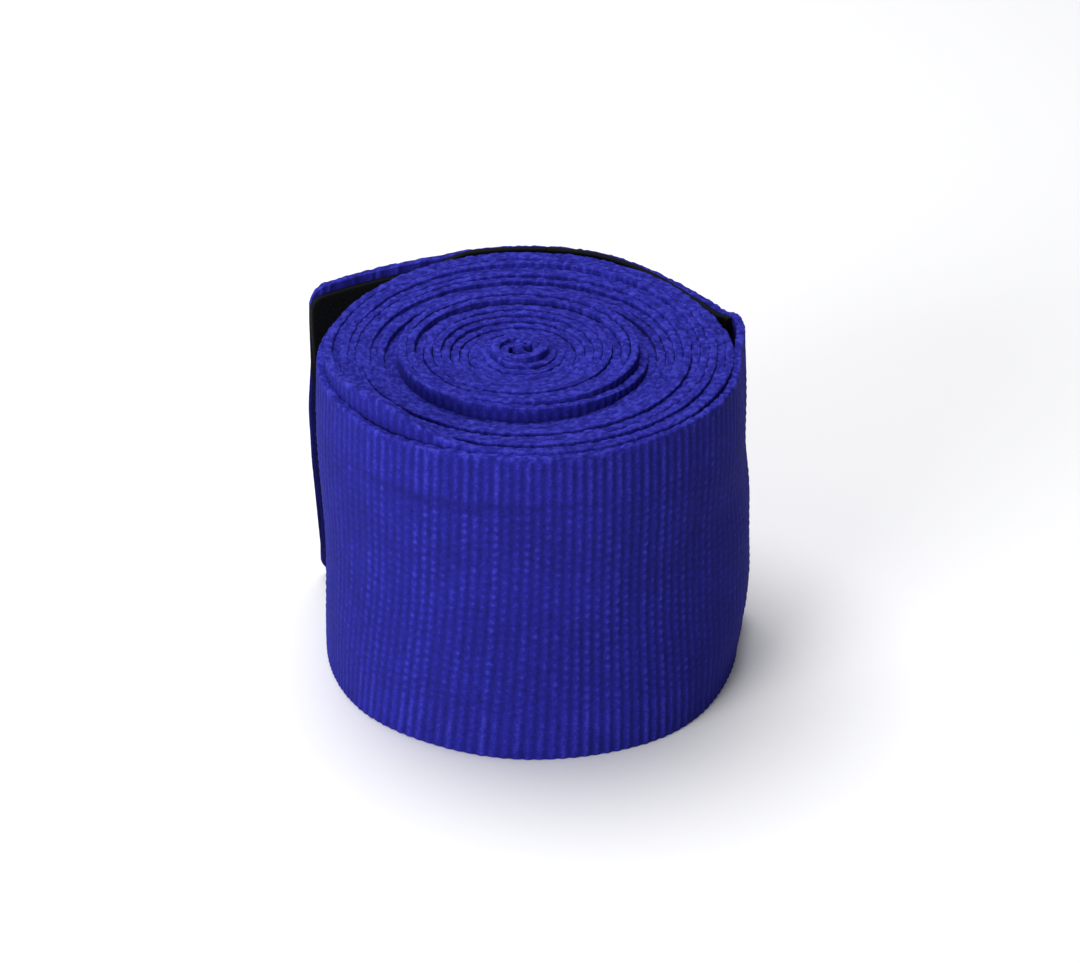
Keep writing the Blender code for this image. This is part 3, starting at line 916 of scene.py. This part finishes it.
# Loop patch on the turn below
patch = {
    "inset": 0.003,
    "angles": (math.radians(39.375), math.radians(140.625)),
    "radius": 0.0295,                  # of its own middle, for lengths along it
    "seamRadius": 0.0298,
    "thickness": 0.0007,
    "seam": 0.0015,
    "pile": 0.00007,
}


def patchPlace(angle, height, offset):
    radius = turnRadius(angle - fullTurn) + roll["solidHalf"] + roll["solidGap"] + offset
    radius = radius + swell(angle, height) * 0.9
    return np.stack([axisX + radius * np.cos(angle), axisY + radius * np.sin(angle), height], axis=-1)


def makePatch():
    first, last = patch["angles"]
    reach = (last - first) * patch["radius"]
    columns = int(reach / 0.0005) + 1
    angle = np.linspace(first, last, columns)
    edge = 0.0003
    width = roll["width"] - 2 * patch["inset"]
    across, outward = sectionRows(np.linspace(edge, width - edge, 90), 8, (3, 3), width, edge)
    dice = np.random.default_rng(90)
    rough = dice.normal(0, patch["pile"], (columns, len(across))) * (outward[None, :] > 0.5)
    rough[:, 0] = rough[:, -1] = 0
    offset = patch["thickness"] / 2 + outward[None, :] * patch["thickness"] / 2 + rough
    height = np.broadcast_to(patch["inset"] + across[None, :], offset.shape)
    grid = np.broadcast_to(angle[:, None], offset.shape)
    points = patchPlace(grid, height, offset)
    layout = np.broadcast_to((across + outward * 0.0005)[None, :], offset.shape)
    piece = closedStrip("loopPatch", points, grid * patch["radius"], layout, np.ones(offset.shape))
    piece.data.materials.append(pileMaterial)
    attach(piece, "roll")
    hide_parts("loop_patch")
    return piece, reach, width


def makePatchStitches():
    pitch = stitch["pitch"]
    first, last = patch["angles"]
    turn = pitch / patch["seamRadius"]
    inset = patch["seam"] / patch["seamRadius"]
    rows = np.arange(first + inset + turn / 2, last - inset, turn)
    low = patch["inset"] + patch["seam"]
    high = roll["width"] - low
    uprights = np.arange(low + pitch / 2, high, pitch)
    ends = np.repeat([first + inset, last - inset], len(uprights))
    angle = np.concatenate([rows, rows, ends])
    height = np.concatenate([np.full(len(rows), low), np.full(len(rows), high), uprights, uprights])
    upright = np.concatenate([np.zeros(2 * len(rows)), np.ones(2 * len(uprights))])[:, None]
    origins = patchPlace(angle, height, patch["thickness"])
    directions = seamDirections(turnDirections(angle), upright)
    piece = scatter("loopPatchStitches", stitchShape(stitch["fineRadius"]), origins, directions)
    piece.data.materials.append(blackThread)
    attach(piece, "roll")
    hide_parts("loop_patch_stitching")
    return piece


patchPiece, patchLength, patchWidth = makePatch()
patchStitches = makePatchStitches()
print("loop patch", round(float(patchLength), 4), "m")


# Bar tack at the thumb loop's seam: zigzag stitches
bartack = {"low": 0.0075, "high": 0.0435, "pitch": 0.00045, "slant": 0.12, "length": 0.0026, "inwards": 0.00055}


def makeBartack():
    step = math.radians(22.5)          # the frame's spiral has sixteen flats to a turn
    start = (math.floor(bandStart / step) + 1) * step
    heights = np.arange(bartack["low"], bartack["high"], bartack["pitch"])
    angle = np.full(len(heights), start + step / 2)
    radius = windRadius(angle) - bartack["inwards"]
    shiftX, shiftY = coreShift(radius)
    forward, up, outward = turnDirections(angle)
    slant = np.where(np.arange(len(heights)) % 2 == 0, 1, -1)[:, None] * bartack["slant"]
    direction = forward + up * slant
    direction = direction / np.linalg.norm(direction, axis=1)[:, None]
    x = axisX + shiftX + radius * np.cos(angle)
    y = axisY + shiftY + radius * np.sin(angle)
    origins = np.stack([x, y, heights], axis=1)
    thread = stitchShape(stitch["fineRadius"], bartack["length"])
    piece = scatter("thumbLoopBartack", thread, origins, (direction, up, outward))
    piece.data.materials.append(blueThread)
    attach(piece, "roll")
    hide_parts("thumb_loop_bartack")


makeBartack()
print("bar tack made")


# Floor, light and camera
studio = {
    "floorColour": "#f4f4f6",
    "skyDark": 0.02,
    "skyLight": 0.36,
    "skySide": (-0.62, -0.32, 0.72),
    "key": {"place": (-0.44, -0.55, 0.22), "size": 0.44, "power": 4.7},
    "top": {"place": (-0.08, 0.14, 0.62), "size": 0.5, "power": 3.7},
    "azimuth": 0.0,
    "elevation": 30.2,
    "distance": 0.65,
    "lens": 148.0,
    "aim": (0.0017, -0.0015, 0.0286),
}


def makeFloor():
    mesh = bpy.data.meshes.new("floor")
    flat = bmesh.new()
    bmesh.ops.create_grid(flat, x_segments=1, y_segments=1, size=3.0)
    flat.to_mesh(mesh)
    flat.free()
    floor = newObject("floor", mesh)
    look = {"Base Color": linear(studio["floorColour"]), "Roughness": 0.9, "Specular IOR Level": 0.1}
    mesh.materials.append(newMaterial("matPaper", look)[0])


def makeLight(name, settings, aim=(0, 0, 0.025)):
    light = bpy.data.lights.new(name, "AREA")
    light.shape = "DISK"
    light.size = settings["size"]
    light.energy = settings["power"]
    lamp = bpy.data.objects.new(name, light)
    lamp.location = settings["place"]
    lamp.rotation_euler = (Vector(aim) - Vector(settings["place"])).to_track_quat("-Z", "Y").to_euler()
    bpy.context.scene.collection.objects.link(lamp)


def makeWorld():
    world = bpy.data.worlds.new("softRoom")
    world.use_nodes = True
    tree = world.node_tree
    place = addNode(tree, "ShaderNodeTexCoord")
    side = addNode(
        tree, "ShaderNodeVectorMath", {"operation": "DOT_PRODUCT", 1: studio["skySide"]},
        {0: place.outputs["Generated"]},
    )
    strength = addNode(
        tree, "ShaderNodeMapRange",
        {"From Min": -0.5, "From Max": 0.9, "To Min": studio["skyDark"], "To Max": studio["skyLight"]},
        {"Value": side.outputs["Value"]},
    )
    tree.nodes["Background"].inputs["Color"].default_value = linear("#ffffff")
    tree.links.new(strength.outputs[0], tree.nodes["Background"].inputs["Strength"])
    bpy.context.scene.world = world


def makeCamera():
    camera = bpy.data.cameras.new("camera")
    camera.lens = studio["lens"]
    camera.sensor_width = 36.0
    camera.clip_start = 0.01
    holder = bpy.data.objects.new("camera", camera)
    azimuth = math.radians(studio["azimuth"])
    elevation = math.radians(studio["elevation"])
    level = math.cos(elevation)
    back = Vector((math.sin(azimuth) * level, -math.cos(azimuth) * level, math.sin(elevation)))
    aim = Vector(studio["aim"])
    holder.location = aim + back * studio["distance"]
    holder.rotation_euler = (-back).to_track_quat("-Z", "Y").to_euler()
    bpy.context.scene.collection.objects.link(holder)
    bpy.context.scene.camera = holder


makeFloor()
makeLight("keyLight", studio["key"])
makeLight("topLight", studio["top"])
makeWorld()
makeCamera()
bpy.context.scene.view_settings.view_transform = "Standard"
print("floor, light and camera set")
